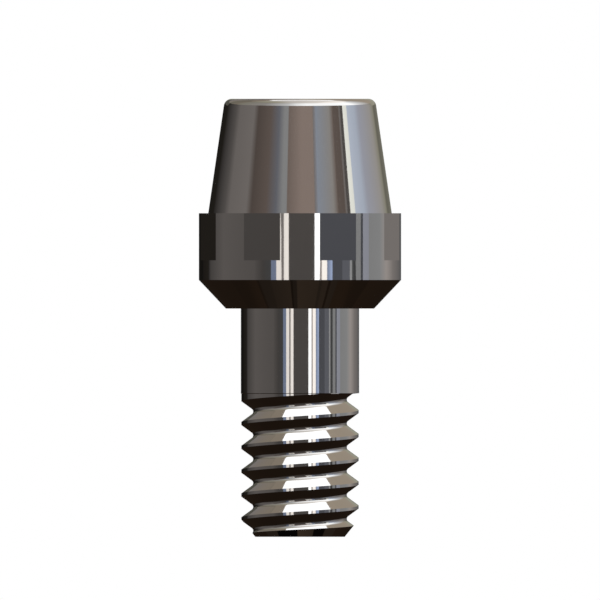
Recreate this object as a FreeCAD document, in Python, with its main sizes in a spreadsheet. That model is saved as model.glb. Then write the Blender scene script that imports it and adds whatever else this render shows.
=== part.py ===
"""Magnetic abutment: a screw-in implant post that carries a sealed magnet in a conical head.

Frame: millimetres, +Z up, origin at the centre of the thread's flat lower end.
"""
import FreeCAD, Part
import math
import os
import Sketcher

OUTPUT_FOLDER = "parts"
FULL_TURN = 360
LEVEL_TOLERANCE = 1e-6

document = FreeCAD.newDocument("MagneticAbutment")

# Driving dimensions, in millimetres and degrees
SIZES = {
    "thread_pitch": (0.40, "M2 coarse thread, rise of one turn"),
    "thread_length": (2.40, "from the end face to the shank"),
    "thread_major_diameter": (1.97, "over the thread's crests"),
    "thread_root_diameter": (1.56, "core between the turns"),
    "thread_crest_width": (0.05, "flat left on the crest"),
    "thread_flank_angle": (36.0, "each flank, from square to the axis"),
    "thread_root_rounding": (0.045, "hollow between flank and core"),
    "thread_start": (0.102, "height of the first crest on the +X side"),
    "thread_end_diameter": (1.50, "flat end face"),
    "thread_end_taper": (38.9, "chamfer of the thread's end, from the axis"),
    "shank_diameter": (1.985, "plain shank above the thread"),
    "shank_length": (1.43, "from the thread to the shoulder"),
    "seat_foot_diameter": (2.488, "where the conical seat leaves the shoulder"),
    "seat_height": (0.48, "conical seat under the collar"),
    "collar_diameter": (3.394, "over the collar's round part"),
    "collar_band_height": (0.33, "plain band under the wrench flats"),
    "flat_height": (0.79, "wrench flats, down from the collar's top face"),
    "width_across_flats": (3.334, "over two opposite wrench flats"),
    "flat_count": (8, "wrench flats round the collar"),
    "head_foot_diameter": (3.08, "conical head where it meets the collar"),
    "head_height": (1.92, "from the collar's top face to the flat top"),
    "head_taper": (8.25, "side of the head, from the axis"),
    "head_rim_radius": (0.134, "rounding between side and top"),
    "head_top_wall": (0.25, "thickness over the magnet"),
    "spigot_clearance": (0.01, "between the spigot and the bore"),
    "spigot_chamfer": (0.05, "lead-in on the spigot's rim"),
    "magnet_diameter": (2.30, "samarium-cobalt disc"),
    "magnet_height": (1.40, "samarium-cobalt disc"),
    "magnet_chamfer": (0.08, "both rims of the disc"),
    "magnet_side_clearance": (0.02, "between the disc and the bore"),
    "magnet_top_clearance": (0.02, "between the disc and the top wall"),
    "overlap": (0.02, "how far a ridge is rooted in the core, and a cut reaches past the metal"),
}

sheet = document.addObject("Spreadsheet::Sheet", "Sizes")
for row, (alias, (value, note)) in enumerate(SIZES.items(), start=1):
    sheet.set(f"A{row}", note)
    sheet.set(f"B{row}", str(value))
    sheet.setAlias(f"B{row}", alias)
document.recompute()

# Levels above the end face, and radii that pieces share
SHANK_LEVEL = "Sizes.thread_length"
SHOULDER_LEVEL = f"({SHANK_LEVEL} + Sizes.shank_length)"
BAND_LEVEL = f"({SHOULDER_LEVEL} + Sizes.seat_height)"
FLATS_LEVEL = f"({BAND_LEVEL} + Sizes.collar_band_height)"
HEAD_LEVEL = f"({FLATS_LEVEL} + Sizes.flat_height)"
CAVITY_HEIGHT = "(Sizes.head_height - Sizes.head_top_wall)"
SPIGOT_HEIGHT = f"({CAVITY_HEIGHT} - Sizes.magnet_height - Sizes.magnet_top_clearance)"
BORE_RADIUS = "(Sizes.magnet_diameter / 2 + Sizes.magnet_side_clearance)"

# Sketch points are numbered start, end, centre; the sketch's own axes have negative numbers
START, END, CENTRE = range(1, 4)
VERTICAL_AXIS, HORIZONTAL_AXIS = range(-2, 0)
ORIGIN = (HORIZONTAL_AXIS, START)


def make_body(label):
    """Start one piece of the object."""
    body = document.addObject("PartDesign::Body", label)
    body.Label = label
    return body


def make_sketch(body, name, role):
    """Lay an empty sketch on one of the body's base planes."""
    plane = next(item for item in body.Origin.OriginFeatures if item.Role == role)
    sketch = body.newObject("Sketcher::SketchObject", name)
    sketch.AttachmentSupport = (plane, [""])
    sketch.MapMode = "FlatFace"
    return sketch


def evaluate(item, expression):
    """Work out an expression on the sheet as a plain number."""
    result = item.evalExpression(expression)
    return float(getattr(result, "Value", result))


def bind(sketch, kind, places, name, expression):
    """Add one sized constraint, tied to the sheet."""
    constraint = Sketcher.Constraint(kind, *places, evaluate(sketch, expression))
    constraint.Name = name
    sketch.addConstraint(constraint)
    sketch.setExpression(f"Constraints.{name}", expression)


def draw_outline(sketch, corners):
    """Draw a closed outline through corners given as (name, across, up).

    Each distance is an expression on the sheet, or None where the corner lies on an axis.
    """
    points = []
    for _, across, up in corners:
        place = [evaluate(sketch, text) if text else 0 for text in (across, up)]
        points.append(FreeCAD.Vector(*place, 0))
    following = points[1:] + points[:1]
    edges = [
        sketch.addGeometry(Part.LineSegment(*ends), False) for ends in zip(points, following)
    ]
    for edge, next_edge in zip(edges, edges[1:] + edges[:1]):
        sketch.addConstraint(Sketcher.Constraint("Coincident", edge, END, next_edge, START))
    for edge, (name, across, up) in zip(edges, corners):
        if across:
            bind(sketch, "DistanceX", (*ORIGIN, edge, START), f"{name}_across", across)
        else:
            sketch.addConstraint(Sketcher.Constraint("PointOnObject", edge, START, VERTICAL_AXIS))
        if up:
            bind(sketch, "DistanceY", (*ORIGIN, edge, START), f"{name}_up", up)
        else:
            sketch.addConstraint(Sketcher.Constraint("PointOnObject", edge, START, HORIZONTAL_AXIS))


def revolve(body, name, sketch):
    """Turn an outline once round its sketch's vertical axis."""
    revolution = body.newObject("PartDesign::Revolution", name)
    revolution.Profile = sketch
    revolution.ReferenceAxis = (sketch, ["V_Axis"])
    revolution.Angle = FULL_TURN
    document.recompute()
    return revolution


def circles_at(shape, height):
    """Name the round edges that lie level at a height."""
    names = []
    for number, edge in enumerate(shape.Edges, start=1):
        box = edge.BoundBox
        away = max(abs(box.ZMin - height), abs(box.ZMax - height))
        if away < LEVEL_TOLERANCE and isinstance(edge.Curve, Part.Circle):
            names.append(f"Edge{number}")
    return names


# Threaded base, turned from one titanium bar: first the core that carries the thread
base = make_body("threaded_base")

ROOT_RADIUS = "(Sizes.thread_root_diameter / 2)"

core_outline = make_sketch(base, "CoreOutline", "XZ_Plane")
draw_outline(core_outline, [
    ("end_centre", None, None),
    ("end_rim", ROOT_RADIUS, None),
    ("core_rim", ROOT_RADIUS, SHANK_LEVEL),
    ("core_centre", None, SHANK_LEVEL),
])
revolve(base, "Core", core_outline)

# The thread is a ridge with a flat crest, straight flanks and a hollow at each foot. It climbs
# from under the end face to over the shank's level, and both ends are then turned off
FLANK = "Sizes.thread_flank_angle"
CREST_RADIUS = "(Sizes.thread_major_diameter / 2)"
HALF_CREST = "(Sizes.thread_crest_width / 2)"
ROUNDING = "Sizes.thread_root_rounding"
HALF_CORNER = f"({HALF_CREST} + ({CREST_RADIUS} - {ROOT_RADIUS}) * tan({FLANK}))"
HALF_FOOT = f"({HALF_CORNER} + {ROUNDING} * tan((90 - {FLANK}) / 2))"
ROOTED_RADIUS = f"({ROOT_RADIUS} - Sizes.overlap)"
TURNS_BELOW = 1
TURNS_ABOVE = 2

ridge_outline = make_sketch(base, "RidgeOutline", "XZ_Plane")
ridge_outline.setExpression(
    ".AttachmentOffset.Base.y", f"Sizes.thread_start - {TURNS_BELOW} * Sizes.thread_pitch")
rooted_x, root_x, crest_x, foot_y, crest_y, rounding, flank_degrees = (
    evaluate(ridge_outline, text)
    for text in (ROOTED_RADIUS, ROOT_RADIUS, CREST_RADIUS, HALF_FOOT, HALF_CREST, ROUNDING, FLANK)
)
hollow_turn = math.radians(90 - flank_degrees)


def draw_ridge_side(side):
    """Draw the foot, hollow and flank above (1) or below (-1) the ridge's middle."""
    middle = FreeCAD.Vector(root_x + rounding, side * foot_y, 0)
    circle = Part.Circle(middle, FreeCAD.Vector(0, 0, 1), rounding)
    if side > 0:
        arc = Part.ArcOfCircle(circle, math.pi, math.pi + hollow_turn)
        arc_root, arc_flank, meeting = START, END, arc.EndPoint
    else:
        arc = Part.ArcOfCircle(circle, math.pi - hollow_turn, math.pi)
        arc_root, arc_flank, meeting = END, START, arc.StartPoint
    rooted_corner = FreeCAD.Vector(rooted_x, side * foot_y, 0)
    root_corner = FreeCAD.Vector(root_x, side * foot_y, 0)
    crest_corner = FreeCAD.Vector(crest_x, side * crest_y, 0)
    foot = ridge_outline.addGeometry(Part.LineSegment(rooted_corner, root_corner), False)
    hollow = ridge_outline.addGeometry(arc, False)
    flank = ridge_outline.addGeometry(Part.LineSegment(meeting, crest_corner), False)
    ridge_outline.addConstraint([
        Sketcher.Constraint("Horizontal", foot),
        Sketcher.Constraint("Coincident", foot, END, hollow, arc_root),
        Sketcher.Constraint("PointOnObject", hollow, CENTRE, foot),
        Sketcher.Constraint("Tangent", hollow, arc_flank, flank, START),
    ])
    return foot, hollow, flank


upper_foot, upper_hollow, upper_flank = draw_ridge_side(1)
lower_foot, lower_hollow, lower_flank = draw_ridge_side(-1)
for upper, lower, end in ((upper_foot, lower_foot, START), (upper_flank, lower_flank, END)):
    points = [ridge_outline.getPoint(upper, end), ridge_outline.getPoint(lower, end)]
    line = ridge_outline.addGeometry(Part.LineSegment(*points), False)
    ridge_outline.addConstraint([
        Sketcher.Constraint("Coincident", line, START, upper, end),
        Sketcher.Constraint("Coincident", line, END, lower, end),
        Sketcher.Constraint("Symmetric", upper, end, lower, end, HORIZONTAL_AXIS),
    ])
ridge_outline.addConstraint(Sketcher.Constraint("Equal", upper_hollow, lower_hollow))
bind(ridge_outline, "DistanceX", (*ORIGIN, upper_foot, START), "rooted_radius", ROOTED_RADIUS)
bind(ridge_outline, "DistanceX", (*ORIGIN, upper_foot, END), "root_radius", ROOT_RADIUS)
bind(ridge_outline, "DistanceX", (*ORIGIN, upper_flank, END), "crest_radius", CREST_RADIUS)
bind(ridge_outline, "DistanceY", (*ORIGIN, upper_foot, START), "half_foot", HALF_FOOT)
bind(ridge_outline, "DistanceY", (*ORIGIN, upper_flank, END), "half_crest", HALF_CREST)
bind(ridge_outline, "Radius", (upper_hollow,), "root_rounding", ROUNDING)

ridge = base.newObject("PartDesign::AdditiveHelix", "ThreadRidge")
ridge.Profile = ridge_outline
ridge.ReferenceAxis = (ridge_outline, ["V_Axis"])
ridge.Mode = "pitch-height-angle"
ridge.setExpression("Pitch", "Sizes.thread_pitch")
ridge.setExpression("Height", f"{SHANK_LEVEL} + {TURNS_BELOW + TURNS_ABOVE} * Sizes.thread_pitch")
document.recompute()

# The groove runs out at the back, in its last turn under the shank. From there on the metal
# over the last crest stays whole: a band that narrows to nothing on its way round to the front
QUARTER_TURN = "Sizes.thread_pitch / 4"
WHOLE_TURNS = (
    f"floor(({SHANK_LEVEL} - Sizes.thread_start - {QUARTER_TURN} - {HALF_CREST})"
    " / Sizes.thread_pitch)")
RUN_OUT_LEVEL = (
    f"(Sizes.thread_start + {QUARTER_TURN} + {WHOLE_TURNS} * Sizes.thread_pitch + {HALF_CREST})")
RUN_OUT_TOP = f"({SHANK_LEVEL} + Sizes.overlap)"

run_out_outline = make_sketch(base, "RunOutOutline", "YZ_Plane")
draw_outline(run_out_outline, [
    ("foot_inside", ROOTED_RADIUS, RUN_OUT_LEVEL),
    ("foot_outside", CREST_RADIUS, RUN_OUT_LEVEL),
    ("top_outside", CREST_RADIUS, RUN_OUT_TOP),
    ("top_inside", ROOTED_RADIUS, RUN_OUT_TOP),
])
run_out = base.newObject("PartDesign::AdditiveHelix", "ThreadRunOut")
run_out.Profile = run_out_outline
run_out.ReferenceAxis = (run_out_outline, ["V_Axis"])
run_out.Mode = "pitch-height-angle"
run_out.setExpression("Pitch", "Sizes.thread_pitch")
run_out.setExpression("Height", f"{RUN_OUT_TOP} - {RUN_OUT_LEVEL}")
document.recompute()

END_RADIUS = "(Sizes.thread_end_diameter / 2)"
TURNED_RADIUS = f"({CREST_RADIUS} + Sizes.overlap)"
CHAMFER_REACH = f"(({TURNED_RADIUS} - {END_RADIUS}) / tan(Sizes.thread_end_taper))"
LOWEST_LEVEL = f"(0 - {TURNS_BELOW + 1} * Sizes.thread_pitch)"
HIGHEST_LEVEL = f"({SHANK_LEVEL} + {TURNS_ABOVE + 1} * Sizes.thread_pitch)"

waste_outline = make_sketch(base, "WasteOutline", "XZ_Plane")
draw_outline(waste_outline, [
    ("face_centre", None, None),
    ("face_rim", END_RADIUS, None),
    ("chamfer_top", TURNED_RADIUS, CHAMFER_REACH),
    ("outer_foot", TURNED_RADIUS, LOWEST_LEVEL),
    ("foot_centre", None, LOWEST_LEVEL),
])
draw_outline(waste_outline, [
    ("stub_centre", None, SHANK_LEVEL),
    ("stub_rim", TURNED_RADIUS, SHANK_LEVEL),
    ("outer_head", TURNED_RADIUS, HIGHEST_LEVEL),
    ("head_centre", None, HIGHEST_LEVEL),
])
turned_off = base.newObject("PartDesign::Groove", "TurnedOffEnds")
turned_off.Profile = waste_outline
turned_off.ReferenceAxis = (waste_outline, ["V_Axis"])
turned_off.Angle = FULL_TURN
document.recompute()

# Shank, conical seat, collar and the spigot that centres the head
COLLAR_RADIUS = "(Sizes.collar_diameter / 2)"
SPIGOT_RADIUS = f"({BORE_RADIUS} - Sizes.spigot_clearance)"
SPIGOT_LEVEL = f"({HEAD_LEVEL} + {SPIGOT_HEIGHT})"

upper_outline = make_sketch(base, "UpperOutline", "XZ_Plane")
draw_outline(upper_outline, [
    ("shank_centre", None, SHANK_LEVEL),
    ("shank_foot", "Sizes.shank_diameter / 2", SHANK_LEVEL),
    ("shoulder", "Sizes.shank_diameter / 2", SHOULDER_LEVEL),
    ("seat_foot", "Sizes.seat_foot_diameter / 2", SHOULDER_LEVEL),
    ("collar_foot", COLLAR_RADIUS, BAND_LEVEL),
    ("collar_rim", COLLAR_RADIUS, HEAD_LEVEL),
    ("spigot_foot", SPIGOT_RADIUS, HEAD_LEVEL),
    ("spigot_side", SPIGOT_RADIUS, f"{SPIGOT_LEVEL} - Sizes.spigot_chamfer"),
    ("spigot_rim", f"{SPIGOT_RADIUS} - Sizes.spigot_chamfer", SPIGOT_LEVEL),
    ("spigot_centre", None, SPIGOT_LEVEL),
])
revolve(base, "ShankAndCollar", upper_outline)

# Wrench flats, milled down the collar's upper part: one either side of the front, and so on round
FLAT_RADIUS = "(Sizes.width_across_flats / 2)"
FLAT_HALF_WIDTH = f"({FLAT_RADIUS} * tan(180 / Sizes.flat_count))"
MILL_REACH = f"({COLLAR_RADIUS} + Sizes.overlap)"

flat_outline = make_sketch(base, "FlatOutline", "XY_Plane")
flat_outline.setExpression(".AttachmentOffset.Base.z", HEAD_LEVEL)
flat_outline.setExpression(".AttachmentOffset.Rotation.Angle", "180 / Sizes.flat_count")
draw_outline(flat_outline, [
    ("near_start", FLAT_RADIUS, f"-{FLAT_HALF_WIDTH}"),
    ("far_start", MILL_REACH, f"-{FLAT_HALF_WIDTH}"),
    ("far_end", MILL_REACH, FLAT_HALF_WIDTH),
    ("near_end", FLAT_RADIUS, FLAT_HALF_WIDTH),
])

first_flat = base.newObject("PartDesign::Pocket", "FirstFlat")
first_flat.Profile = flat_outline
first_flat.setExpression("Length", "Sizes.flat_height")
document.recompute()

flats = base.newObject("PartDesign::PolarPattern", "WrenchFlats")
flats.Originals = [first_flat]
flats.Axis = (flat_outline, ["N_Axis"])
flats.Angle = FULL_TURN
flats.setExpression("Occurrences", "Sizes.flat_count")
base.Tip = flats
document.recompute()

# Magnet housing: a conical titanium cap, bored from below and welded round its foot to the collar
housing = make_body("magnet_housing")
housing.setExpression(".Placement.Base.z", HEAD_LEVEL)

TOP_RADIUS = "(Sizes.head_foot_diameter / 2 - Sizes.head_height * tan(Sizes.head_taper))"

cap_outline = make_sketch(housing, "CapOutline", "XZ_Plane")
draw_outline(cap_outline, [
    ("bore_mouth", BORE_RADIUS, None),
    ("cap_foot", "Sizes.head_foot_diameter / 2", None),
    ("cap_rim", TOP_RADIUS, "Sizes.head_height"),
    ("cap_centre", None, "Sizes.head_height"),
    ("bore_centre", None, CAVITY_HEIGHT),
    ("bore_end", BORE_RADIUS, CAVITY_HEIGHT),
])
cap = revolve(housing, "Cap", cap_outline)

rim = housing.newObject("PartDesign::Fillet", "RoundedRim")
rim.Base = (cap, circles_at(cap.Shape, evaluate(housing, "Sizes.head_height")))
rim.setExpression("Radius", "Sizes.head_rim_radius")
document.recompute()

# Magnet: a sintered disc that rests on the spigot, with both rims chamfered
magnet = make_body("magnet")
magnet.setExpression(".Placement.Base.z", SPIGOT_LEVEL)

MAGNET_RADIUS = "Sizes.magnet_diameter / 2"

disc_outline = make_sketch(magnet, "DiscOutline", "XZ_Plane")
draw_outline(disc_outline, [
    ("foot_centre", None, None),
    ("foot_rim", MAGNET_RADIUS, None),
    ("top_rim", MAGNET_RADIUS, "Sizes.magnet_height"),
    ("top_centre", None, "Sizes.magnet_height"),
])
disc = revolve(magnet, "Disc", disc_outline)

rims = circles_at(disc.Shape, 0) + circles_at(disc.Shape, evaluate(magnet, "Sizes.magnet_height"))
chamfers = magnet.newObject("PartDesign::Chamfer", "RimChamfers")
chamfers.Base = (disc, rims)
chamfers.setExpression("Size", "Sizes.magnet_chamfer")
document.recompute()

# Every feature and piece has to be whole before anything is written
for item in document.Objects:
    faults = {"Invalid", "Error"}.intersection(item.State)
    if faults:
        raise RuntimeError(f"{item.Label}: {faults}")

pieces = [base, housing, magnet]
for piece in pieces:
    if piece.Shape.isNull() or not piece.Shape.isValid() or len(piece.Shape.Solids) != 1:
        raise RuntimeError(f"{piece.Label}: not one valid solid")

os.makedirs(OUTPUT_FOLDER, exist_ok=True)
for piece in pieces:
    piece.Shape.exportStep(f"{OUTPUT_FOLDER}/{piece.Label}.step")
    print(piece.Label, "volume", round(piece.Shape.Volume, 4), "height", round(piece.Shape.BoundBox.ZMax, 3))
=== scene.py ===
"""Looks of the magnetic abutment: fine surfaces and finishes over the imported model, and its studio.

The object stands on its thread's end at the origin. Lengths are in millimetres until a mesh is
made, which turns them into metres.
"""
import math

import bmesh
import bpy
import numpy as np
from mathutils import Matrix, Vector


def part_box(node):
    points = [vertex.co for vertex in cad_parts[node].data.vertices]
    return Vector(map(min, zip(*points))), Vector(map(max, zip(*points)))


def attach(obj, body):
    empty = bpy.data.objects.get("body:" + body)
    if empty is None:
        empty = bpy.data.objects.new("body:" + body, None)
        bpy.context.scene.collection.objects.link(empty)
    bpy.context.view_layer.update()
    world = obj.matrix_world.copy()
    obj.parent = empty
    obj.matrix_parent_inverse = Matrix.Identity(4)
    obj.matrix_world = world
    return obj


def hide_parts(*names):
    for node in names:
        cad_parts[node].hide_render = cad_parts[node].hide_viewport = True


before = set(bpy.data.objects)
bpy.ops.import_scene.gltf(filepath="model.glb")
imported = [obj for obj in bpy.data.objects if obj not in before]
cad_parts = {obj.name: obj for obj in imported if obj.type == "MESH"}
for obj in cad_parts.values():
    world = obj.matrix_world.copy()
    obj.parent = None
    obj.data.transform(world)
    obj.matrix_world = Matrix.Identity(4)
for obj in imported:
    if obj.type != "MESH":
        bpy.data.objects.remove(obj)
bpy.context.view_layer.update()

# View
# The photograph looks level at the upright object through a long lens, so the camera is
# orthographic. Its scale comes from the thread's pitch in the picture.
MM = 0.001
PIXELS_PER_MM = 59.6
PICTURE_SIZE = 600
FOOT_ROW = 536.85
CAMERA_DISTANCE = 50
NEAREST_SEEN = 1
FARTHEST_SEEN = 1000

camera_data = bpy.data.cameras.new("camera")
camera_data.type = "ORTHO"
camera_data.ortho_scale = PICTURE_SIZE / PIXELS_PER_MM * MM
camera_data.clip_start = NEAREST_SEEN * MM
camera_data.clip_end = FARTHEST_SEEN * MM
camera = bpy.data.objects.new("camera", camera_data)
centre_height = (FOOT_ROW - PICTURE_SIZE / 2) / PIXELS_PER_MM
camera.location = (0, -CAMERA_DISTANCE * MM, centre_height * MM)
camera.rotation_euler = (math.radians(90), 0, 0)
bpy.context.scene.collection.objects.link(camera)
bpy.context.scene.camera = camera

# Threaded base
# One titanium bar, turned on a lathe: an M2 thread with hollow roots, a plain shank, a conical
# seat, a collar and the spigot that centres the head. Eight wrench flats are milled down the
# collar's upper part.
THREAD_PITCH = 0.40
THREAD_LENGTH = 2.40
THREAD_START = 0.102
FIRST_TURN = -1
LAST_TURN = 6
CREST_RADIUS = 0.985
ROOT_RADIUS = 0.786
HALF_CREST = 0.025
FLANK_DEGREES = 36
FLANK_SLOPE = math.tan(math.radians(FLANK_DEGREES))
HOLLOW_RADIUS = 0.059
HOLLOW_TURN = math.radians(90 - FLANK_DEGREES)
END_RADIUS = 0.75
END_SLOPE = math.tan(math.radians(38.9))
RUN_OUT_ANGLE = math.radians(90)
RUN_OUT_TURN = 5

SHANK_RADIUS = 0.9925
EDGE_BREAK = 0.01
SHOULDER_LEVEL = 3.83
SEAT_FOOT_RADIUS = 1.244
BAND_LEVEL = 4.31
LEDGE_LEVEL = 4.64
ACROSS_FLATS = 3.33
FLAT_COUNT = 8
FLAT_TURN = math.tau / FLAT_COUNT
SPIGOT_RADIUS = 1.16
SPIGOT_CHAMFER = 0.05

base_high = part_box("threaded_base")[1] / MM
housing_low, housing_high = (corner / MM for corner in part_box("magnet_housing"))
COLLAR_RADIUS = base_high.x
HEAD_LEVEL = housing_low.z
SPIGOT_LEVEL = base_high.z

# Half the thread's ridge, along the axis: at the core, and where a flank meets its hollow
FLANK_HEIGHT = (CREST_RADIUS - ROOT_RADIUS) * FLANK_SLOPE
HALF_FOOT = HALF_CREST + FLANK_HEIGHT + HOLLOW_RADIUS * math.tan(HOLLOW_TURN / 2)
HALF_MEETING = HALF_FOOT - HOLLOW_RADIUS * math.sin(HOLLOW_TURN)

# How finely the surfaces are laid out. A flank's own rows are at these shares of it, from the
# hollow
FLAT_STEPS = 14
ROUND_STEPS = 16
HOLLOW_ROWS = 8
FLANK_ROWS = np.array((0.06, 0.5))
ANGLE_MARGIN = 1e-6
SHARP_ANGLE = math.radians(8.5)
MERGE_DISTANCE = 1e-5


def wrench_angles():
    """Angles once round the collar, with a column on both edges of each flat.

    Each eighth of the turn is the flat's own angle in even steps, then the round part between
    two flats in even steps. Half the flat's angle is the arc cosine of its distance over the
    collar's radius.
    """
    half_flat = math.acos(ACROSS_FLATS / 2 / COLLAR_RADIUS)
    flat_part = np.linspace(-half_flat, half_flat, FLAT_STEPS, endpoint=False)
    round_part = np.linspace(half_flat, FLAT_TURN - half_flat, ROUND_STEPS, endpoint=False)
    one_eighth = np.concatenate([flat_part, round_part])
    middles = (np.arange(FLAT_COUNT) + 0.5) * FLAT_TURN
    return (middles[:, None] + one_eighth).ravel()


def collar_radius(angle):
    """Radius round the flats: the collar's own, or half the flats' distance over the cosine of
    the angle from the flat's middle, whichever is less."""
    off_middle = angle % FLAT_TURN - FLAT_TURN / 2
    return np.minimum(COLLAR_RADIUS, ACROSS_FLATS / 2 / np.cos(off_middle))


def thread_radius(angle, height):
    """Radius of the thread at an angle and a height.

    The distance along the axis to the nearest crest gives the flat crest, then the straight
    flank, then a hollow arc that meets the core. Past the run-out the metal over the last
    crest stays whole, and the chamfer at the end cuts everything off.
    """
    turns = (height - THREAD_START) / THREAD_PITCH - angle / math.tau
    away = np.abs(turns - np.round(turns)) * THREAD_PITCH
    flank = CREST_RADIUS - (away - HALF_CREST) / FLANK_SLOPE
    into_hollow = np.clip(HALF_FOOT - away, 0, HOLLOW_RADIUS)
    hollow = ROOT_RADIUS + HOLLOW_RADIUS - np.sqrt(HOLLOW_RADIUS ** 2 - into_hollow ** 2)
    radius = np.where(away < HALF_MEETING, np.minimum(CREST_RADIUS, flank), hollow)
    around = angle % math.tau
    last_crest = THREAD_START + THREAD_PITCH * (RUN_OUT_TURN + around / math.tau)
    whole = (around > RUN_OUT_ANGLE - ANGLE_MARGIN) & (height > last_crest)
    radius = np.where(whole, CREST_RADIUS, radius)
    return np.minimum(radius, END_RADIUS + height * END_SLOPE)


def point_grid(across, along, up):
    """A grid of points from their three coordinates, each of them spread over the whole grid."""
    return np.stack(np.broadcast_arrays(across, along, up), axis=-1)


def thread_sheet(angles):
    """The thread as one long strip, wound round the axis a pitch higher on each turn.

    One parameter is the number of turns, the other the distance from the crest's middle. Rows
    follow the core, hollows and flanks, and slide along a flank or the crest to where the end's
    chamfer crosses it. Heights are held between the end face and the shank, which closes the
    strip.
    """
    turns = np.concatenate([turn + angles / math.tau for turn in range(FIRST_TURN, LAST_TURN + 1)])
    crest = THREAD_START + THREAD_PITCH * turns
    arc = np.linspace(0, HOLLOW_TURN, HOLLOW_ROWS)
    foot = np.concatenate([[THREAD_PITCH / 2], HALF_FOOT - HOLLOW_RADIUS * np.sin(arc)])
    foot_rows = foot[:, None] * np.ones_like(crest)

    spare = CREST_RADIUS + HALF_CREST / FLANK_SLOPE - END_RADIUS
    below = (END_SLOPE * crest - spare) / (1 / FLANK_SLOPE - END_SLOPE)
    above = (spare - END_SLOPE * crest) / (1 / FLANK_SLOPE + END_SLOPE)
    on_crest = (CREST_RADIUS - END_RADIUS) / END_SLOPE - crest
    below = np.clip(below, -HALF_MEETING, -HALF_CREST)
    above = np.clip(above, HALF_CREST, HALF_MEETING)
    on_crest = np.clip(on_crest, -HALF_CREST, HALF_CREST)
    share = FLANK_ROWS[:, None]
    lower_flank = -HALF_MEETING + share * (below + HALF_MEETING)
    upper_flank = HALF_MEETING - share[::-1] * (HALF_MEETING - above)
    rows = np.vstack([-foot_rows, lower_flank, below, on_crest, above, upper_flank,
                      foot_rows[::-1]])

    height = np.clip(crest + rows, 0, THREAD_LENGTH)
    angle = math.tau * turns
    radius = thread_radius(angle, height)
    return point_grid(radius * np.cos(angle), radius * np.sin(angle), height)


def turned_sheet(angles, profile):
    """A profile carried once round the axis. Each of its points is a radius, or one radius for
    each angle, and a height."""
    radius = np.array([across * np.ones_like(angles) for across, _ in profile])
    height = np.array([up for _, up in profile])[:, None]
    return point_grid(radius * np.cos(angles), radius * np.sin(angles), height)


def grid_faces(rows, columns):
    """The four corners of each face between neighbours on a grid, which is counted row by row."""
    corner = (np.arange(rows - 1)[:, None] * columns + np.arange(columns - 1)).reshape(-1, 1)
    return corner + np.array([0, 1, columns + 1, columns])


def build_piece(name, sheets):
    """One closed mesh from grids of points that meet along their borders. Points that coincide
    become one, and edges past a small angle stay sharp."""
    points = []
    faces = []
    made = 0
    for sheet in sheets:
        faces.append(made + grid_faces(*sheet.shape[:2]))
        points.append(sheet.reshape(-1, 3) * MM)
        made += len(points[-1])
    mesh = bpy.data.meshes.new(name)
    mesh.from_pydata(np.concatenate(points), [], np.concatenate(faces))
    shape = bmesh.new()
    shape.from_mesh(mesh)
    bmesh.ops.remove_doubles(shape, verts=shape.verts, dist=MERGE_DISTANCE * MM)
    bmesh.ops.dissolve_degenerate(shape, edges=shape.edges, dist=MERGE_DISTANCE * MM)
    shape.to_mesh(mesh)
    shape.free()
    mesh.shade_smooth()
    mesh.set_sharp_from_angle(angle=SHARP_ANGLE)
    piece = bpy.data.objects.new(name, mesh)
    bpy.context.scene.collection.objects.link(piece)
    return piece


flat_columns = wrench_angles()
once_round = np.append(flat_columns, flat_columns[0] + math.tau)
thread_top = thread_radius(once_round, THREAD_LENGTH)
flats = collar_radius(once_round)
threaded_base = build_piece("turned_base", [
    turned_sheet(once_round, [(0, 0), (END_RADIUS, 0)]),
    thread_sheet(flat_columns),
    turned_sheet(once_round, [
        (thread_top, THREAD_LENGTH),
        (SHANK_RADIUS, THREAD_LENGTH + EDGE_BREAK),
        (SHANK_RADIUS, SHOULDER_LEVEL),
        (SEAT_FOOT_RADIUS, SHOULDER_LEVEL),
        (COLLAR_RADIUS, BAND_LEVEL),
        (COLLAR_RADIUS, LEDGE_LEVEL),
        (flats, LEDGE_LEVEL),
        (flats, HEAD_LEVEL),
        (SPIGOT_RADIUS, HEAD_LEVEL),
        (SPIGOT_RADIUS, SPIGOT_LEVEL - SPIGOT_CHAMFER),
        (SPIGOT_RADIUS - SPIGOT_CHAMFER, SPIGOT_LEVEL),
        (0, SPIGOT_LEVEL),
    ]),
])


class Flow:
    """A value on its way from one node to the next. Arithmetic on it adds Math nodes."""

    def __init__(self, socket):
        self.socket = socket

    @staticmethod
    def node(tree, kind, settings=None, inputs=None):
        """Add a node: its settings come first, then the values or links of its sockets."""
        made = tree.nodes.new(kind)
        for name, value in (settings or {}).items():
            setattr(made, name, value)
        for name, value in (inputs or {}).items():
            if isinstance(value, Flow):
                tree.links.new(value.socket, made.inputs[name])
            else:
                made.inputs[name].default_value = value
        return made

    def math(self, operation, *others):
        """This value, and any others, through one Math node."""
        made = Flow.node(self.socket.id_data, "ShaderNodeMath", {"operation": operation},
                         dict(enumerate((self, *others))))
        return Flow(made.outputs[0])

    def __add__(self, other):
        return self.math("ADD", other)

    def __radd__(self, other):
        return self.math("ADD", other)

    def __mul__(self, other):
        return self.math("MULTIPLY", other)

    def __rmul__(self, other):
        return self.math("MULTIPLY", other)


def new_tree(name):
    """An empty material and its node tree."""
    material = bpy.data.materials.new(name)
    material.use_nodes = True
    material.node_tree.nodes.clear()
    return material, material.node_tree


# A Mix node's sockets for colours share their names with those for numbers, so they go by place
MIX_SHARE = 0
MIX_FIRST_COLOUR = 6
MIX_SECOND_COLOUR = 7
MIX_RESULT = 2

RING_WIDTH = 0.02
CLOUD_WIDTH = 0.5
GLOSS_SPREAD = 0.5
TITANIUM = (0.58, 0.555, 0.53)
TITANIUM_SHADE = (0.55, 0.525, 0.50)
POLISHED_ROUGHNESS = 0.05
POLISHED_RING_DEPTH = 0.00002


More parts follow.
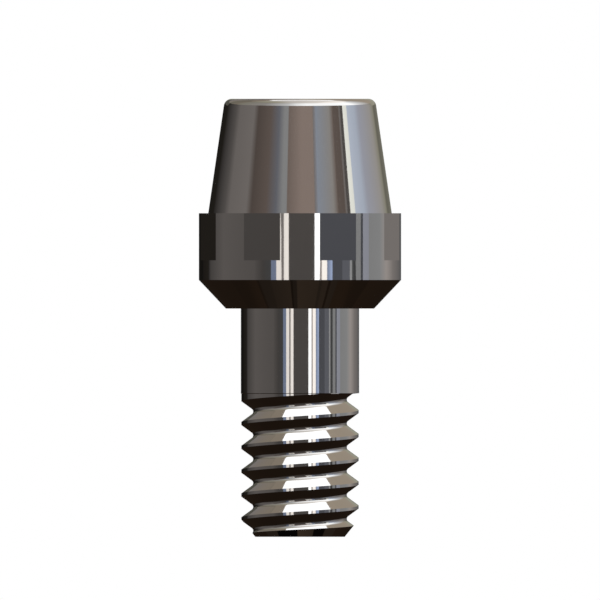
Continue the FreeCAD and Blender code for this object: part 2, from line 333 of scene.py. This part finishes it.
def turned_metal(name, colour, shade, roughness, ring_depth):
    """Metal as it leaves the lathe: fine rings round the axis, faint clouds in its gloss.

    Height plus radius numbers the rings, so that they run round upright faces and round flat
    ones. The rings feed a shallow bump, and soft clouds blend two near colours and vary the
    roughness about its middle value.
    """
    material, tree = new_tree(name)
    place = Flow(Flow.node(tree, "ShaderNodeTexCoord").outputs["Object"])
    axes = Flow.node(tree, "ShaderNodeSeparateXYZ", inputs={"Vector": place})
    across, along, up = (Flow(axes.outputs[axis]) for axis in "XYZ")
    radius = (across * across + along * along).math("SQRT")
    ring = (radius + up) * (1 / (RING_WIDTH * MM))
    rings = Flow.node(tree, "ShaderNodeTexNoise", {"noise_dimensions": "1D"},
                      {"W": ring, "Scale": 1, "Detail": 3, "Roughness": 0.6})
    clouds = Flow.node(tree, "ShaderNodeTexNoise", {"noise_dimensions": "3D"},
                       {"Vector": place, "Scale": 1 / (CLOUD_WIDTH * MM), "Detail": 4})
    cloud = Flow(clouds.outputs["Fac"])
    tint = Flow.node(tree, "ShaderNodeMix", {"data_type": "RGBA"}, {
        MIX_SHARE: cloud, MIX_FIRST_COLOUR: (*colour, 1), MIX_SECOND_COLOUR: (*shade, 1)})
    bump = Flow.node(tree, "ShaderNodeBump", inputs={
        "Height": Flow(rings.outputs["Fac"]), "Distance": ring_depth * MM})
    surface = Flow.node(tree, "ShaderNodeBsdfPrincipled", inputs={
        "Base Color": Flow(tint.outputs[MIX_RESULT]),
        "Metallic": 1.0,
        "Roughness": roughness * (1 - GLOSS_SPREAD / 2 + GLOSS_SPREAD * cloud),
        "Normal": Flow(bump.outputs["Normal"]),
    })
    Flow.node(tree, "ShaderNodeOutputMaterial", inputs={"Surface": Flow(surface.outputs["BSDF"])})
    return material


base_titanium = turned_metal("base_titanium", TITANIUM, TITANIUM_SHADE, POLISHED_ROUGHNESS,
                             POLISHED_RING_DEPTH)
threaded_base.data.materials.append(base_titanium)
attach(threaded_base, "root")
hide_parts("threaded_base")
threaded_base.visible_glossy = False

# Head
# A thin titanium cup, turned to a slight taper with a rounded rim. It is set over the magnet
# and the spigot and welded to the collar all round, which seals the magnet in.
HEAD_TAPER = math.radians(8.25)
HEAD_FOOT_RADIUS = 1.54
RIM_RADIUS = 0.134
TOP_WALL = 0.25
BORE_RADIUS = 1.17
RIM_STEPS = 15
EDGE_HOLD = 0.01


def head_profile():
    """The cup's section from the middle of its ceiling to the middle of its top. The rim is an
    arc that touches the tapered side and the flat top, with a row close by at both ends."""
    top = housing_high.z
    ceiling = top - TOP_WALL
    arc_height = top - RIM_RADIUS
    arc_middle = (HEAD_FOOT_RADIUS - (arc_height - HEAD_LEVEL) * math.tan(HEAD_TAPER)
                  - RIM_RADIUS / math.cos(HEAD_TAPER))
    turn = np.linspace(HEAD_TAPER, math.pi / 2, RIM_STEPS)
    rim = list(zip(arc_middle + RIM_RADIUS * np.cos(turn), arc_height + RIM_RADIUS * np.sin(turn)))
    side_hold = (rim[0][0] + EDGE_HOLD * math.tan(HEAD_TAPER), rim[0][1] - EDGE_HOLD)
    top_hold = (rim[-1][0] - EDGE_HOLD, top)
    return [(0, ceiling), (BORE_RADIUS, ceiling), (BORE_RADIUS, HEAD_LEVEL),
            (HEAD_FOOT_RADIUS, HEAD_LEVEL), side_hold, *rim, top_hold, (0, top)]


head_shell = build_piece("head_shell", [turned_sheet(once_round, head_profile())])
housing_titanium = turned_metal("housing_titanium", TITANIUM, TITANIUM_SHADE, POLISHED_ROUGHNESS,
                                POLISHED_RING_DEPTH)
head_shell.data.materials.append(housing_titanium)
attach(head_shell, "root")
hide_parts("magnet_housing")
head_shell.visible_glossy = False

# Magnet
# A disc of samarium cobalt, pressed, sintered and ground. It lies loose in the head's bore on
# the spigot, and nothing of it shows.
MAGNET_GREY = (0.30, 0.295, 0.285)
MAGNET_SHADE = (0.24, 0.235, 0.23)
GROUND_ROUGHNESS = 0.35
GROUND_RING_DEPTH = 0.0002
magnet_metal = turned_metal("magnet_metal", MAGNET_GREY, MAGNET_SHADE, GROUND_ROUGHNESS,
                            GROUND_RING_DEPTH)
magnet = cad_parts["magnet"]
magnet.material_slots[0].material = magnet_metal
magnet.visible_glossy = False

# Studio
# A pale floor under soft lamps. Reflections look past the floor and see cards all round, over and
# under the object: windows, walls, flags and dark cloth that give the polished metal its stripes.
# The dark cloth is painted shade for the faces that look down.
FLOOR_RADIUS = 60
FLOOR_STEPS = 96
FLOOR_GREY = 0.9
FLOOR_ROUGHNESS = 0.9


def stage_piece(name, sheet, material):
    """A stage surface from one grid of points in millimetres."""
    mesh = bpy.data.meshes.new(name)
    mesh.from_pydata(sheet.reshape(-1, 3) * MM, [], grid_faces(*sheet.shape[:2]))
    mesh.materials.append(material)
    piece = bpy.data.objects.new(name, mesh)
    bpy.context.scene.collection.objects.link(piece)
    return piece


floor_paint, tree = new_tree("floor_paint")
surface = Flow.node(tree, "ShaderNodeBsdfPrincipled", inputs={
    "Base Color": (FLOOR_GREY, FLOOR_GREY, FLOOR_GREY, 1),
    "Roughness": FLOOR_ROUGHNESS,
    "Specular IOR Level": 0.0,
})
Flow.node(tree, "ShaderNodeOutputMaterial", inputs={"Surface": Flow(surface.outputs["BSDF"])})
floor_angles = np.linspace(0, math.tau, FLOOR_STEPS + 1)
floor = stage_piece("floor", turned_sheet(floor_angles, [(FLOOR_RADIUS, 0), (0, 0)]), floor_paint)
floor.visible_glossy = False

# The world is white where a ray sees it, and lights the object more softly
SKY_LIGHT = 0.6
world = bpy.data.worlds.new("backdrop")
world.use_nodes = True
bpy.context.scene.world = world
tree = world.node_tree
tree.nodes.clear()
path = Flow.node(tree, "ShaderNodeLightPath")
to_camera, to_gloss, to_glass = (
    Flow(path.outputs[ray]) for ray in ("Is Camera Ray", "Is Glossy Ray", "Is Transmission Ray"))
seen = to_camera.math("MAXIMUM", to_gloss).math("MAXIMUM", to_glass)
sky = Flow.node(tree, "ShaderNodeBackground", inputs={
    "Color": (1, 1, 1, 1), "Strength": SKY_LIGHT + (1 - SKY_LIGHT) * seen})
Flow.node(tree, "ShaderNodeOutputWorld", inputs={"Surface": Flow(sky.outputs["Background"])})

# Each lamp's place and width are in millimetres, and its power in watts
for name, place, width, power in (
    ("lamp_left", (-30, -20, 45), 30, 0.004),
    ("lamp_right", (35, -10, 40), 30, 0.003),
):
    lamp_data = bpy.data.lights.new(name, "AREA")
    lamp_data.shape = "SQUARE"
    lamp_data.size = width * MM
    lamp_data.energy = power
    lamp = bpy.data.objects.new(name, lamp_data)
    lamp.location = [along * MM for along in place]
    lamp.rotation_euler = (-lamp.location).to_track_quat("-Z", "Y").to_euler()
    lamp.visible_glossy = False
    bpy.context.scene.collection.objects.link(lamp)

card_paint, tree = new_tree("card_paint")
tone = Flow.node(tree, "ShaderNodeAttribute", {"attribute_name": "tone"})
glow = Flow.node(tree, "ShaderNodeEmission", inputs={
    "Color": Flow(tone.outputs["Color"]), "Strength": 1.0})
Flow.node(tree, "ShaderNodeOutputMaterial", inputs={"Surface": Flow(glow.outputs["Emission"])})
card_paint.cycles.emission_sampling = "NONE"

# The cards' paints, each a share of red, green and blue. A card's tone is its brightness, of 255,
# times its paint
WARM = np.array((1.00, 0.95, 0.92))
CREAM = np.array((1.00, 0.97, 0.94))
PALE = np.array((1.00, 1.00, 0.96))
NEUTRAL = np.array((1.00, 1.00, 1.00))
OLIVE = np.array((1.00, 0.97, 0.86))
TAN = np.array((1.00, 0.92, 0.82))
BROWN = np.array((1.00, 0.89, 0.83))
COOL = np.array((0.93, 0.94, 1.00))
SKY = np.array((0.89, 0.93, 1.00))
BLUE = np.array((0.78, 0.85, 1.00))
BLACK = np.array((1.00, 0.90, 0.78))
FELT = np.array((1.00, 0.80, 0.63))
CLOTH = np.array((1.00, 0.72, 0.50))

WALL_DISTANCE = 80
WALL_STEP = 2
FEWEST_COLUMNS = 2


def card_light(tone):
    """The light a card gives off so that the metal shows the tone, of 255. The display's curve
    is undone, and the result divided by the metal's own colour."""
    share = tone / 255
    linear = np.where(share > 0.04045, ((share + 0.055) / 1.055) ** 2.4, share / 12.92)
    return linear / np.array(TITANIUM)


def card(name, sheet, first_tone, last_tone):
    """A card that only reflections see. Its light runs from the first tone at one side of its
    grid to the last tone at the other."""
    piece = stage_piece(name, sheet, card_paint)
    rows, columns = sheet.shape[:2]
    share = np.linspace(0, 1, columns)[:, None]
    light = card_light(first_tone) * (1 - share) + card_light(last_tone) * share
    light = np.tile(np.column_stack([light, np.ones(columns)]), (rows, 1))
    attribute = piece.data.attributes.new("tone", "FLOAT_COLOR", "POINT")
    attribute.data.foreach_set("color", light.astype(np.float32).ravel())
    piece.visible_camera = False
    piece.visible_diffuse = False
    piece.visible_transmission = False
    piece.visible_shadow = False


def card_angles(first, last):
    """Angles in even steps from one to another, turned from degrees into radians."""
    columns = max(FEWEST_COLUMNS, round((last - first) / WALL_STEP))
    return np.radians(np.linspace(first, last, columns))


def wall_card(name, first, last, low, high, first_tone, last_tone, distance=WALL_DISTANCE):
    """Part of a round wall, from one azimuth to another. Azimuth 0 is behind the camera, and
    90 is to its right. The lower edge is level, or slopes from one height to another."""
    azimuth = card_angles(first, last)
    foot = np.linspace(*np.broadcast_to(low, 2), len(azimuth))
    height = np.stack([foot, np.full_like(foot, high)])
    sheet = point_grid(distance * np.sin(azimuth), -distance * np.cos(azimuth), height)
    card(name, sheet, first_tone, last_tone)


def level_card(name, left, right, front, back, height, first_tone, last_tone):
    """A level card over the object or under it, from its left side to its right one."""
    sheet = point_grid(np.array([left, right]), np.array([front, back])[:, None], height)
    card(name, sheet, first_tone, last_tone)


# Low wall, level with the object: upright faces show it
WALL_FOOT = -10
LOW_TOP = 6.5
for name, first, last, low, first_tone, last_tone in (
    ("left_flag", -174, -146, WALL_FOOT, 18 * BLACK, 18 * BLACK),
    ("left_flag_end", -146, -128, WALL_FOOT, 24 * BLACK, 32 * BLACK),
    ("left_corner", -128, -123, WALL_FOOT, 34 * WARM, 62 * WARM),
    ("left_wall", -123, -98, WALL_FOOT, 64 * WARM, 86 * WARM),
    ("left_side", -98, -52, WALL_FOOT, 87 * WARM, 80 * WARM),
    ("left_nook", -52, -43, WALL_FOOT, 77 * WARM, 64 * WARM),
    ("left_window_side", -43, -33, WALL_FOOT, 63 * WARM, 62 * NEUTRAL),
    ("left_window_edge", -33, -26.8, WALL_FOOT, 136 * BLUE, 136 * BLUE),
    ("left_window", -26.8, -20.9, WALL_FOOT, 228 * CREAM, 226 * CREAM),
    ("left_window_bar", -20.9, -18.2, WALL_FOOT, 112 * WARM, 112 * WARM),
    ("left_window_inner", -18.2, -12.7, WALL_FOOT, 230 * CREAM, 238 * CREAM),
    ("camera_wall", -12.7, 16.5, WALL_FOOT, 71 * WARM, 71 * WARM),
    ("right_window_inner", 16.5, 22.2, WALL_FOOT, 280 * NEUTRAL, 280 * NEUTRAL),
    ("right_window_bar", 22.2, 24.7, WALL_FOOT, 144 * WARM, 144 * WARM),
    ("right_window", 24.7, 30.8, WALL_FOOT, 254 * CREAM, 250 * CREAM),
    ("right_window_edge", 30.8, 37, WALL_FOOT, 142 * BLUE, 204 * BLUE),
    ("right_side", 37, 49, WALL_FOOT, 76 * COOL, 78 * COOL),
    ("right_side_end", 49, 58.5, WALL_FOOT, 95 * COOL, 95 * COOL),
    ("right_rail", 58.5, 61.3, WALL_FOOT, 140 * NEUTRAL, 140 * NEUTRAL),
    ("right_gap", 61.3, 66.5, WALL_FOOT, 76 * NEUTRAL, 52 * NEUTRAL),
    ("right_post", 66.5, 73.2, WALL_FOOT, 123 * NEUTRAL, 123 * NEUTRAL),
    ("right_slot", 73.2, 76.2, WALL_FOOT, 70 * COOL, 70 * COOL),
    ("right_curtain", 76.2, 85, WALL_FOOT, 146 * COOL, 142 * COOL),
    ("right_wall", 85, 104, WALL_FOOT, 124 * NEUTRAL, 128 * NEUTRAL),
    ("right_far_wall", 104, 116, WALL_FOOT, 130 * NEUTRAL, 146 * WARM),
    ("back_corner", 116, 131, WALL_FOOT, 146 * WARM, 117 * WARM),
    ("back_wall", 131, 170, (-46, -2), 115 * WARM, 60 * NEUTRAL),
    ("back_screen", 170, 186, -2, 90 * NEUTRAL, 90 * NEUTRAL),
):
    wall_card("low_" + name, first, last, low, LOW_TOP, first_tone, last_tone)

# Wall above it: the tapered head shows it, and the thread's hollow roots its upper part
FLAG_TOP = 16
HEAD_TOP = 33
for name, first, last, low, high, first_tone, last_tone in (
    ("left_flag", -174, -142, LOW_TOP, FLAG_TOP, 20 * BLACK, 28 * BLACK),
    ("left_flag_top", -174, -142, FLAG_TOP, HEAD_TOP, 72 * OLIVE, 72 * OLIVE),
    ("left_flag_end", -142, -124, LOW_TOP, HEAD_TOP, 28 * BLACK, 62 * WARM),
    ("left_far_wall", -124, -112, LOW_TOP, HEAD_TOP, 62 * WARM, 78 * WARM),
    ("left_wall_edge", -112, -103, LOW_TOP, HEAD_TOP, 78 * WARM, 98 * WARM),
    ("left_wall", -103, -73, LOW_TOP, HEAD_TOP, 100 * WARM, 107 * WARM),
    ("left_wall_end", -73, -65, LOW_TOP, HEAD_TOP, 106 * WARM, 76 * BROWN),
    ("left_side", -65, -44, LOW_TOP, HEAD_TOP, 76 * BROWN, 90 * BROWN),
    ("left_side_end", -44, -31, LOW_TOP, HEAD_TOP, 90 * BROWN, 102 * COOL),
    ("left_pillar_edge", -31, -23, LOW_TOP, HEAD_TOP, 102 * COOL, 126 * NEUTRAL),
    ("left_pillar", -23, -17, LOW_TOP, HEAD_TOP, 127 * NEUTRAL, 127 * NEUTRAL),
    ("camera_wall_left", -17, 2, LOW_TOP, HEAD_TOP, 106 * BROWN, 128 * BROWN),
    ("camera_wall_right", 2, 19, LOW_TOP, HEAD_TOP, 128 * BROWN, 128 * BROWN),
    ("right_screen_edge", 19, 23, LOW_TOP, HEAD_TOP, 111 * WARM, 134 * COOL),
    ("right_screen", 23, 44.5, LOW_TOP, HEAD_TOP, 144 * SKY, 132 * CREAM),
    ("right_screen_frame", 44.5, 50, LOW_TOP, HEAD_TOP, 130 * CREAM, 104 * BROWN),
    ("right_side", 50, 60.5, LOW_TOP, HEAD_TOP, 92 * BROWN, 88 * BROWN),
    ("right_lamp_edge", 60.5, 63, LOW_TOP, HEAD_TOP, 108 * WARM, 108 * WARM),
    ("right_gap", 63, 67.5, LOW_TOP, HEAD_TOP, 76 * WARM, 76 * WARM),
    ("right_lamp", 67.5, 75, LOW_TOP, HEAD_TOP, 228 * PALE, 220 * PALE),
    ("right_curtain", 75, 90, LOW_TOP, HEAD_TOP, 194 * SKY, 182 * SKY),
    ("right_wall", 90, 98, LOW_TOP, HEAD_TOP, 181 * SKY, 159 * COOL),
    ("right_far_wall", 98, 128, LOW_TOP, HEAD_TOP, 159 * COOL, 144 * CREAM),
    ("back_corner", 128, 141, LOW_TOP, HEAD_TOP, 144 * CREAM, 126 * OLIVE),
    ("back_edge", 141, 147, LOW_TOP, FLAG_TOP, 124 * OLIVE, 92 * OLIVE),
    ("back_wall", 147, 186, LOW_TOP, FLAG_TOP, 94 * OLIVE, 100 * OLIVE),
    ("back_wall_top", 141, 186, FLAG_TOP, HEAD_TOP, 138 * OLIVE, 132 * OLIVE),
):
    wall_card("mid_" + name, first, last, low, high, first_tone, last_tone)

# High wall and ceiling: the rim and the thread's upper flanks show them
CEILING = 100
CEILING_JOINT = 28
SOFTBOX_DROP = 1
for name, first, last, first_tone, last_tone in (
    ("left_back", -180, -163, 94 * WARM, 108 * WARM),
    ("left_back_end", -163, -148, 108 * WARM, 122 * TAN),
    ("left_far", -148, -115, 98 * OLIVE, 114 * TAN),
    ("left", -115, -60, 118 * OLIVE, 134 * CREAM),
    ("left_front", -60, -20, 134 * CREAM, 186 * NEUTRAL),
    ("front", -20, -5, 187 * NEUTRAL, 228 * NEUTRAL),
    ("right_window_edge", -5, 10, 228 * NEUTRAL, 246 * NEUTRAL),
    ("right_window", 10, 92, 247 * NEUTRAL, 258 * NEUTRAL),
    ("right_edge", 92, 108, 252 * NEUTRAL, 212 * NEUTRAL),
    ("right_far", 108, 130, 208 * NEUTRAL, 168 * CREAM),
    ("back_right", 130, 140, 164 * CREAM, 150 * TAN),
    ("back", 140, 180, 150 * TAN, 130 * TAN),
):
    wall_card("high_" + name, first, last, HEAD_TOP, CEILING, first_tone, last_tone)
for name, left, right, front, back, first_tone, last_tone in (
    ("left", -WALL_DISTANCE, -45, -WALL_DISTANCE, CEILING_JOINT, 124 * OLIVE, 146 * OLIVE),
    ("left_middle", -45, -15, -WALL_DISTANCE, CEILING_JOINT, 146 * OLIVE, 188 * CREAM),
    ("middle", -15, 25, -WALL_DISTANCE, CEILING_JOINT, 188 * CREAM, 212 * CREAM),
    ("right_middle", 25, 42.5, -WALL_DISTANCE, CEILING_JOINT, 212 * CREAM, 218 * CREAM),
    ("right", 42.5, WALL_DISTANCE, -WALL_DISTANCE, CEILING_JOINT, 238 * CREAM, 246 * CREAM),
    ("back_left", -WALL_DISTANCE, -28, CEILING_JOINT, WALL_DISTANCE, 122 * TAN, 127 * TAN),
    ("back_middle", -28, 33, CEILING_JOINT, WALL_DISTANCE, 148 * TAN, 148 * TAN),
    ("back_step", 33, WALL_DISTANCE, CEILING_JOINT, 48, 206 * CREAM, 190 * CREAM),
    ("back_right", 33, WALL_DISTANCE, 48, WALL_DISTANCE, 148 * TAN, 148 * TAN),
):
    level_card("ceiling_" + name, left, right, front, back, CEILING, first_tone, last_tone)
level_card("softbox", -28, 33, CEILING_JOINT, 50, CEILING - SOFTBOX_DROP, 270 * NEUTRAL,
           270 * NEUTRAL)

# Skirt, where the low wall's panels go on down in shade: upright faces show it from above
SKIRT_FOOT = -56
BACK_PANEL_TOP = -26
for name, first, last, low, high, first_tone, last_tone in (
    ("left_back", -150, -118, (-30, SKIRT_FOOT), WALL_FOOT, 30 * WARM, 76 * WARM),
    ("left", -118, -52, SKIRT_FOOT, WALL_FOOT, 86 * WARM, 78 * WARM),
    ("left_window_side", -52, -33, SKIRT_FOOT, WALL_FOOT, 72 * WARM, 60 * NEUTRAL),
    ("left_window_edge", -33, -27, SKIRT_FOOT, WALL_FOOT, 100 * BLUE, 100 * BLUE),
    ("left_window", -27, -12.5, SKIRT_FOOT, WALL_FOOT, 156 * CREAM, 162 * CREAM),
    ("front", -12.5, 16.5, SKIRT_FOOT, WALL_FOOT, 68 * WARM, 68 * WARM),
    ("right_window", 16.5, 31, SKIRT_FOOT, WALL_FOOT, 172 * CREAM, 164 * CREAM),
    ("right_window_edge", 31, 37, SKIRT_FOOT, WALL_FOOT, 116 * BLUE, 116 * BLUE),
    ("right_side", 37, 58.5, SKIRT_FOOT, WALL_FOOT, 74 * COOL, 84 * COOL),
    ("right_post", 58.5, 73.5, SKIRT_FOOT, WALL_FOOT, 106 * NEUTRAL, 106 * NEUTRAL),
    ("right", 73.5, 118, SKIRT_FOOT, WALL_FOOT, 128 * COOL, 104 * WARM),
    ("right_back", 118, 131, (SKIRT_FOOT, -46), WALL_FOOT, 98 * WARM, 90 * WARM),
    ("back", 170, 190, SKIRT_FOOT, BACK_PANEL_TOP, 140 * CREAM, 120 * COOL),
):
    wall_card("skirt_" + name, first, last, low, high, first_tone, last_tone)

# Dark cloth under the object and behind the skirt: the seat and the lower flanks show it. Its
# dark tone is painted shade for the faces that look down, on cards that only reflections see
CLOTH_LEVEL = -80
CLOTH_DISTANCE = 81
APRON_BACK = -26
APRON_RISE = 2
STRIP_RISE = 1
STRIP_WIDTH = 10
level_card("apron", -CLOTH_DISTANCE, CLOTH_DISTANCE, -CLOTH_DISTANCE, APRON_BACK,
           CLOTH_LEVEL + APRON_RISE, 56 * BROWN, 56 * BROWN)
level_card("cloth", -CLOTH_DISTANCE, CLOTH_DISTANCE, -CLOTH_DISTANCE, CLOTH_DISTANCE,
           CLOTH_LEVEL, 26 * CLOTH, 26 * CLOTH)
for name, first, last, first_tone, last_tone in (
    ("left", -190, -118, 26 * CLOTH, 28 * CLOTH),
    ("front", -118, 118, 44 * BROWN, 44 * BROWN),
    ("right", 118, 170, 32 * CLOTH, 24 * CLOTH),
):
    wall_card("cloth_" + name, first, last, CLOTH_LEVEL, 0, first_tone, last_tone, CLOTH_DISTANCE)


def cloth_strip(name, first, last, slope, first_tone, last_tone):
    """A strip of the cloth where a cone shows it, from one of the cone's angles to another.

    A level line of sight meets the cone, which widens upward, and leaves it by the mirror rule.
    The strip lies where that line comes down on the cloth.
    """
    level = CLOTH_LEVEL + STRIP_RISE
    angle = card_angles(first, last)
    facing = np.cos(angle) * math.cos(slope)
    reach = -level / (2 * facing * math.sin(slope))
    across = 2 * facing * np.sin(angle) * math.cos(slope) * reach
    depth = (1 - 2 * facing ** 2) * reach + STRIP_WIDTH / 2 * np.array([-1, 1])[:, None]
    card(name, point_grid(across, depth, level), first_tone, last_tone)


SEAT_SLOPE = math.atan2(COLLAR_RADIUS - SEAT_FOOT_RADIUS, BAND_LEVEL - SHOULDER_LEVEL)
# Painted shade: the folds and the crease below are darker strips that stand for the shade in the
# cloth's folds
for name, first, last, first_tone, last_tone in (
    ("left", -46, -27.7, 27 * CLOTH, 32 * CLOTH),
    ("first_fold_shade", -27.7, -26.2, 25 * CLOTH, 25 * CLOTH),
    ("left_middle", -26.2, -18.5, 30 * FELT, 31 * FELT),
    ("left_inner", -18.5, -6, 34 * FELT, 39 * FELT),
    ("second_fold_shade", -6, -4.7, 20 * CLOTH, 20 * CLOTH),
    ("between_folds", -4.7, -2, 28 * FELT, 28 * FELT),
    ("middle", -2, 12, 43 * FELT, 40 * FELT),
    ("crease_shade", 12, 14, 33 * FELT, 33 * FELT),
    ("right_inner", 14, 17.9, 38 * FELT, 39 * FELT),
    ("last_fold_shade", 17.9, 19.6, 24 * CLOTH, 24 * CLOTH),
    ("right_middle", 19.6, 24, 35 * FELT, 33 * FELT),
    ("right", 24, 46, 32 * CLOTH, 34 * CLOTH),
):
    cloth_strip("seat_" + name, first, last, SEAT_SLOPE, first_tone, last_tone)
# Painted shade: the two hollows below are nearly black strips that stand for the shade in the cloth's
# hollows. The end's chamfer shows them.
for name, first, last, first_tone, last_tone in (
    ("left", -46, -28, 32 * FELT, 34 * FELT),
    ("left_hollow_shade", -28, -3, 5 * FELT, 5 * FELT),
    ("middle", -3, 16, 50 * FELT, 42 * FELT),
    ("right_hollow_shade", 16, 30, 8 * CLOTH, 8 * CLOTH),
    ("right", 30, 46, 36 * FELT, 36 * FELT),
):
    cloth_strip("end_" + name, first, last, math.atan(END_SLOPE), first_tone, last_tone)

bpy.context.scene.view_settings.view_transform = "Standard"
